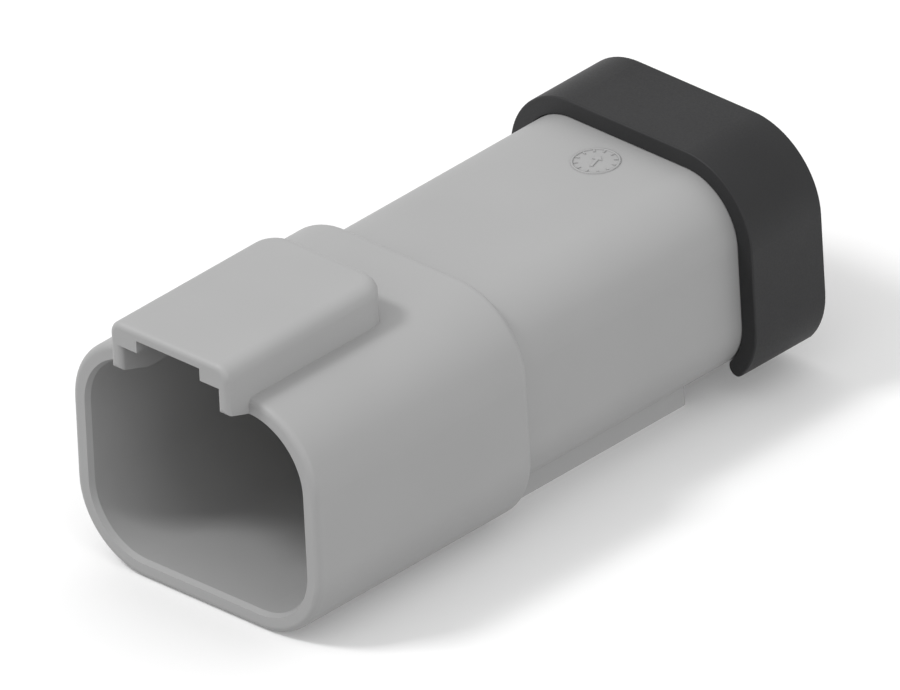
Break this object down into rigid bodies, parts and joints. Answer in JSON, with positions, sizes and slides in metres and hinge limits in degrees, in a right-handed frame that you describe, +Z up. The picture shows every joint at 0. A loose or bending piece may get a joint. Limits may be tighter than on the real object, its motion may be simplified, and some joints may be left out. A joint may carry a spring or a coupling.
{
  "type": "sealed automotive connector",
  "caption": "Sealed automotive connector receptacle: a moulded housing with latch ledge and clip rails, pin contacts, a wedge lock, a wire seal and a clipped end cap.",
  "frame": {"origin": "on the connector's axis, at the centre of the mating opening in the plane of the shroud's rim", "axes": "+Y from the mating end to the wire end, +X to the right seen from the mating end, +Z up, with the latch ledge on top"},
  "size_m": [0.0224, 0.0511, 0.0209],
  "materials": {
    "housing_plastic": "moulded, fine spark-eroded satin",
    "cap_plastic": "moulded, satin black",
    "wedge_plastic": "moulded, satin slate grey",
    "seal_rubber": "moulded silicone, matt",
    "contact_metal": "turned copper alloy, nickel plated"
  },
  "bodies": {
    "root": {"housing": "housing_plastic", "wedge_lock": "wedge_plastic", "contact_1": "contact_metal", "contact_2": "contact_metal", "contact_3": "contact_metal", "contact_4": "contact_metal", "wire_seal": "seal_rubber", "end_cap": "cap_plastic"}
  },
  "joints": []
}
